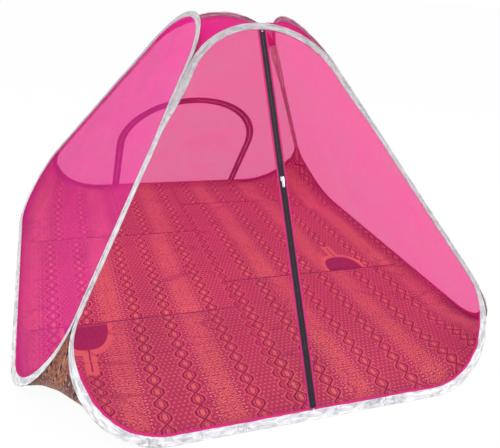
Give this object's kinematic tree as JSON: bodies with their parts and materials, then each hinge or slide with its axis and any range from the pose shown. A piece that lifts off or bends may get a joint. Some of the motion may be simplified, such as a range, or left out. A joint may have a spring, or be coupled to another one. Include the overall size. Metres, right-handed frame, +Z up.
{
  "type": "pop-up net tent",
  "caption": "Pyramid pop-up tent of sprung hoops bound in tape, with sheer net walls, a zipped front slit, a zipped arched rear door and a pieced cloth floor.",
  "frame": {"origin": "on the ground under the middle of the tent", "axes": "+Z up, +Y from the front zip to the rear door, +X to the right seen from the front"},
  "size_m": [1.802, 2.0014, 1.0945],
  "materials": {
    "spring_steel": "drawn spring wire",
    "silver_tape": "satin woven tape with a silver sheen",
    "pink_net": "sheer fine net",
    "printed_cloth": "matt printed cloth",
    "zip_tape": "woven zip tape",
    "zip_coil": "nylon coil",
    "nickel": "nickel plated"
  },
  "bodies": {
    "front": {"crown_net": "pink_net", "floor_cloth_left_front": "printed_cloth", "floor_cloth_left_middle": "printed_cloth", "floor_cloth_left_rear": "printed_cloth", "floor_cloth_right_front": "printed_cloth", "floor_cloth_right_middle": "printed_cloth", "floor_cloth_right_rear": "printed_cloth", "front_binding": "silver_tape", "front_ferrule": "spring_steel", "front_hoop": "spring_steel", "front_joint_patch": "silver_tape", "front_left_gusset": "printed_cloth", "front_net_left": "pink_net", "front_net_right": "pink_net", "front_right_gusset": "printed_cloth", "front_zip_bottom_stop": "nickel", "front_zip_coil_left": "zip_coil", "front_zip_coil_right": "zip_coil", "front_zip_tape_left": "zip_tape", "front_zip_tape_right": "zip_tape", "front_zip_top_stop": "nickel"},
    "left": {"left_binding": "silver_tape", "left_ferrule": "spring_steel", "left_hoop": "spring_steel", "left_joint_patch": "silver_tape", "left_net": "pink_net", "rear_left_gusset": "printed_cloth"},
    "right": {"rear_right_gusset": "printed_cloth", "right_binding": "silver_tape", "right_ferrule": "spring_steel", "right_hoop": "spring_steel", "right_joint_patch": "silver_tape", "right_net": "pink_net"},
    "rear": {"rear_binding": "silver_tape", "rear_ferrule": "spring_steel", "rear_hoop": "spring_steel", "rear_joint_patch": "silver_tape", "rear_net": "pink_net", "rear_zip_coil_outer": "zip_coil", "rear_zip_stop_left": "nickel", "rear_zip_stop_right": "nickel", "rear_zip_tape_outer": "zip_tape"},
    "front_slider": {"front_zip_slider": "nickel"},
    "front_pull": {"front_zip_pull": "nickel"},
    "rear_slider": {"rear_zip_slider": "nickel"},
    "rear_pull": {"rear_zip_pull": "nickel"},
    "rear_door": {"rear_door_net": "pink_net", "rear_door_zip_coil": "zip_coil", "rear_door_zip_tape": "zip_tape"}
  },
  "joints": [
    {"name": "left_fold", "type": "hinge", "parent": "front", "child": "left", "pos_m": [-0.89782, -0.99789, -0.00296], "axis": [-0.4677, -0.5196, -0.715], "range_deg": [0, 108.7], "stiffness_Nm_per_rad": 6, "springref_deg": -57.3, "deforming": ["crown_net", "floor_cloth_left_front", "floor_cloth_left_middle", "floor_cloth_left_rear", "floor_cloth_right_front", "floor_cloth_right_middle", "floor_cloth_right_rear", "front_left_gusset", "front_right_gusset", "rear_left_gusset", "rear_right_gusset", "right_binding", "right_hoop", "right_net"]},
    {"name": "right_fold", "type": "hinge", "parent": "front", "child": "right", "pos_m": [0.9, -1, 0], "axis": [0.4677, -0.5196, -0.715], "range_deg": [0, 71.2]},
    {"name": "rear_fold", "type": "hinge", "parent": "left", "child": "rear", "pos_m": [-0.9, 1, 0], "axis": [0.4677, -0.5196, 0.715], "range_deg": [0, 71.2]},
    {"name": "rear_door_swing", "type": "hinge", "parent": "rear", "child": "rear_door", "pos_m": [0, 0.98433, 0.0265], "axis": [1, 0, 0], "range_deg": [-118, 0], "deforming": ["rear_door_zip_tape", "rear_door_zip_coil"]},
    {"name": "front_slider_slide", "type": "slide", "parent": "front", "child": "front_slider", "axis": [0, 0.5879, 0.8089], "range_m": [-0.731, 0.522]},
    {"name": "front_pull_flip", "type": "hinge", "parent": "front_slider", "child": "front_pull", "pos_m": [0, -0.54786, 0.62946], "axis": [-1, 0, 0], "range_deg": [0, 170]},
    {"name": "rear_slider_travel", "type": "hinge", "parent": "rear", "child": "rear_slider", "pos_m": [0, 0.75018, 0.34375], "axis": [0, 0.8089, 0.5879], "range_deg": [-149, 25]},
    {"name": "rear_pull_flip", "type": "hinge", "parent": "rear_slider", "child": "rear_pull", "pos_m": [0.32228, 0.65292, 0.4849], "axis": [0.8829, -0.276, 0.3798], "range_deg": [0, 170]}
  ],
  "couplings": [
    {"joint": "right_fold", "follows": "left_fold", "ratio": 0.65484},
    {"joint": "rear_fold", "follows": "left_fold", "ratio": 0.65484}
  ]
}
